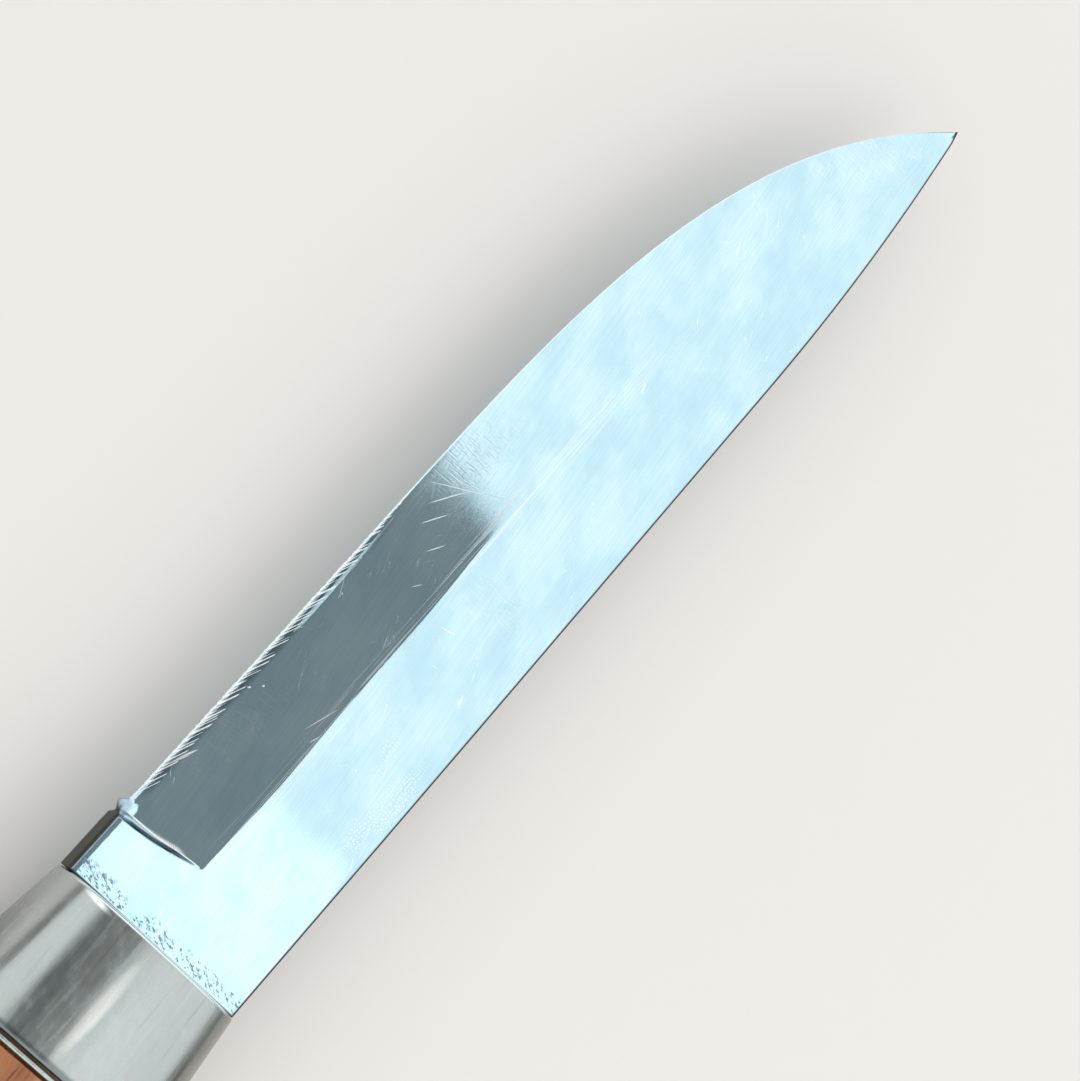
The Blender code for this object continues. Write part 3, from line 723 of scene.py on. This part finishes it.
def ferrule_silver_with_painted_light():
    """Nickel silver drawn to a sleeve and handled, with soft streaks along it. Painted reflections lie on
    it, partly wear and tarnish: a pale band along the top and darker bands low on its flanks, a painted
    highlight on the front lip and its corner on the edge side, and painted shade at the rear end."""
    material, tree, shader = new_material("ferrule_silver_with_painted_light", (("Metallic", 1.0),))
    place = add(tree, "ShaderNodeTexCoord").outputs["Object"]
    along = add(tree, "ShaderNodeSeparateXYZ", [(0, place)]).outputs[0]
    colour = srgb("#B4BCBA")
    # Bands of painted reflection, partly wear and tarnish, from the table above
    for middle, length, width, turn, core, tint in FERRULE_WEAR_AND_PAINTED_REFLECTIONS:
        colour = blend_colours(tree, mark(tree, middle, length, width, turn, core), colour, srgb(tint))
    streaks = grain(tree, 40, 0.7, 0, 3.0, 0.5, 2)
    colour = blend_colours(tree, remap(tree, streaks, 0.5, 0.8, 0, 0.14), colour, srgb("#DDF0EE"))
    colour = blend_colours(tree, remap(tree, streaks, 0.45, 0.25, 0, 0.2), colour, srgb("#4E6468"))
    smudges = grain(tree, 2.2, 1.4, 40, 3.0, 0.6, 12)
    colour = blend_colours(tree, remap(tree, smudges, 0.5, 0.8, 0, 0.12), colour, srgb("#E4F4F6"))
    front, rear = ORIGIN.x, ORIGIN.x - FERRULE_LENGTH
    # Painted highlight along the front lip
    lip_painted_highlight = remap(tree, along, front - 0.4 * MM, front - 0.2 * MM)
    colour = blend_colours(tree, calc(tree, "MULTIPLY", lip_painted_highlight, calc(
        tree, "MULTIPLY", mark(tree, (0, 1), 20, 22, 0, 0.8), 0.9)), colour, srgb("#F6FFFD"))
    # Painted highlight at the front lip's corner on the edge side
    corner_painted_highlight = mark(tree, (-0.6, 8.6), 4.2, 0.8, 84, 0.2)
    colour = blend_colours(tree, corner_painted_highlight, colour, srgb("#F2FFFF"))
    # Painted shade towards the rear end
    shade = remap(tree, along, rear + 1.0 * MM, rear + 0.5 * MM)
    colour = blend_colours(tree, calc(tree, "MULTIPLY", shade, 0.6), colour, srgb("#46565A"))
    tree.links.new(colour, shader.inputs["Base Color"])
    rough = remap(tree, calc(tree, "ADD", streaks, calc(tree, "MULTIPLY", smudges, 0.6)), 0.5, 1.1, 0.18, 0.3)
    tree.links.new(rough, shader.inputs["Roughness"])
    fine = grain(tree, 9, 0.16, 0, 2.0, 0.5, 8)
    height = calc(tree, "MULTIPLY_ADD", streaks, 2.0, fine)
    bump = add(tree, "ShaderNodeBump", [("Strength", 0.035), ("Distance", 0.05 * MM), ("Height", height)])
    tree.links.new(bump.outputs[0], shader.inputs["Normal"])
    return material


def oiled_hardwood():
    """Close-grained hardwood, sanded and oiled until it shines: warm brown with dark flecks."""
    material, tree, shader = new_material("oiled_hardwood", (
        ("Coat Weight", 0.6), ("Coat Roughness", 0.12), ("IOR", 1.5)))
    figure = grain(tree, 60, 5, 2, 5.0, 0.6, 3)
    pores = grain(tree, 4, 0.28, 1, 2.0, 0.5, 9)
    flecks = remap(tree, pores, 0.6, 0.72)
    colour = blend_colours(tree, remap(tree, figure, 0.35, 0.65), srgb("#8E4F2A"), srgb("#BD8052"))
    colour = blend_colours(tree, calc(tree, "MULTIPLY", flecks, 0.75), colour, srgb("#5A2413"))
    tree.links.new(colour, shader.inputs["Base Color"])
    tree.links.new(remap(tree, figure, 0.2, 0.8, 0.36, 0.5), shader.inputs["Roughness"])
    height = calc(tree, "SUBTRACT", calc(tree, "MULTIPLY", figure, 0.3), flecks)
    bump = add(tree, "ShaderNodeBump", [("Strength", 0.25), ("Distance", 0.1 * MM), ("Height", height)])
    tree.links.new(bump.outputs[0], shader.inputs["Normal"])
    return material


def black_fibre():
    """Vulcanised fibre, pressed from paper: near black, with a faint mottle and its edges burnished."""
    material, tree, shader = new_material("black_fibre", ())
    mottle = grain(tree, 0.9, 0.5, 0, 4.0, 0.6, 5)
    colour = blend_colours(tree, mottle, srgb("#17120F"), srgb("#2E2520"))
    tree.links.new(colour, shader.inputs["Base Color"])
    tree.links.new(remap(tree, mottle, 0.2, 0.8, 0.38, 0.6), shader.inputs["Roughness"])
    bump = add(tree, "ShaderNodeBump", [("Strength", 0.3), ("Distance", 0.04 * MM), ("Height", mottle)])
    tree.links.new(bump.outputs[0], shader.inputs["Normal"])
    return material


def cutlers_cement():
    """Rosin and brick dust, melted in round the tang: a dull dark brown with grit in it."""
    material, tree, shader = new_material("cutlers_cement", ())
    grit = grain(tree, 0.4, 0.4, 0, 4.0, 0.7, 6)
    colour = blend_colours(tree, grit, srgb("#3A2012"), srgb("#6B4128"))
    tree.links.new(colour, shader.inputs["Base Color"])
    tree.links.new(remap(tree, grit, 0.2, 0.8, 0.5, 0.8), shader.inputs["Roughness"])
    bump = add(tree, "ShaderNodeBump", [("Strength", 0.5), ("Distance", 0.1 * MM), ("Height", grit)])
    tree.links.new(bump.outputs[0], shader.inputs["Normal"])
    return material


# --- Studio --------------------------------------------------------------------------------------

LENS = 76.6
CAMERA_PLACE = Vector((-18.5, 88.0, 226.1)) * MM
CAMERA_TURN = (-3.69, -27.83, -44.40)
SOFTBOX_HEIGHT = 302 * MM


def make_sheet(name, middle, size, material):
    """A flat level sheet for the studio."""
    mesh = bmesh.new()
    bmesh.ops.create_grid(mesh, x_segments=1, y_segments=1, size=0.5)
    bmesh.ops.scale(mesh, vec=(*size, 1), verts=mesh.verts)
    bmesh.ops.translate(mesh, vec=middle, verts=mesh.verts)
    data = bpy.data.meshes.new(name)
    mesh.to_mesh(data)
    mesh.free()
    data.materials.append(material)
    sheet = bpy.data.objects.new(name, data)
    bpy.context.scene.collection.objects.link(sheet)
    return sheet


def even_glow(name, colour, strength):
    """The even face of a softbox or of a card with light thrown on it: one colour all over."""
    material = bpy.data.materials.new(name)
    material.use_nodes = True
    tree = material.node_tree
    tree.nodes.clear()
    face = add(tree, "ShaderNodeEmission", [("Color", srgb(colour)), ("Strength", strength)])
    add(tree, "ShaderNodeOutputMaterial", [("Surface", face.outputs[0])])
    return material


# Plain softboxes and a grey card overhead, highest first: (name, middle and size in mm from the ferrule,
# colour, strength)
OVERHEAD = (
    ("overhead_softbox", (0, 0), (1600, 1600), "#FBFBFB", 1.2),
    ("grey_card", (60, 30), (170, 210), "#8E8E8E", 1.0),
    ("key_softbox", (0, -130), (120, 90), "#FFFFFF", 1.4),
)


def make_studio():
    """Pale floor, plain softboxes and a grey card overhead, and the camera over the grip's front."""
    scene = bpy.context.scene
    floor_paint, _, shader = new_material("pale_floor", (("Roughness", 0.8),))
    shader.inputs["Base Color"].default_value = srgb("#F0ECE8")
    make_sheet("floor", (0, 0, -0.01 * MM), (4, 4), floor_paint)

    for i, (name, (x, y), size, colour, strength) in enumerate(OVERHEAD):
        middle = (ORIGIN.x + x * MM, y * MM, SOFTBOX_HEIGHT - i * MM)
        sheet = make_sheet(name, middle, [side * MM for side in size], even_glow(name, colour, strength))
        sheet.visible_camera = False

    world = bpy.data.worlds.new("room")
    world.use_nodes = True
    world.node_tree.nodes["Background"].inputs["Color"].default_value = srgb("#CDCDCD")
    world.node_tree.nodes["Background"].inputs["Strength"].default_value = 0.6
    scene.world = world

    camera = bpy.data.cameras.new("camera")
    camera.lens = LENS
    camera.sensor_width = 36
    camera.clip_start = 0.005
    eye = bpy.data.objects.new("camera", camera)
    eye.location = CAMERA_PLACE
    eye.rotation_euler = [math.radians(a) for a in CAMERA_TURN]
    scene.collection.objects.link(eye)
    scene.camera = eye
    scene.view_settings.view_transform = "Standard"


# --- Assembly ------------------------------------------------------------------------------------


def main():
    steel = blade_steel()
    metal = worn_nickel_silver()
    wood = oiled_hardwood()
    fibre = black_fibre()
    make_blade(steel)
    make_ferrule(ferrule_silver_with_painted_light())
    make_band("bright_collar", "collar_ring", FERRULE_SQUARENESS, 0.16 * MM, metal, "nickel_silver")
    make_band("rear_washer", "rear_fibre_washer", GRIP_SQUARENESS, 0.12 * MM, fibre, "black_fibre")
    make_grip(wood)
    make_butt_cap(metal)
    kept = {
        "ferrule_front_plate": metal,
        "tang_washer": metal,
        "tang_nut": metal,
        "tang_cement": cutlers_cement(),
    }
    for node, material in kept.items():
        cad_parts[node].material_slots[0].material = material
    make_studio()


main()
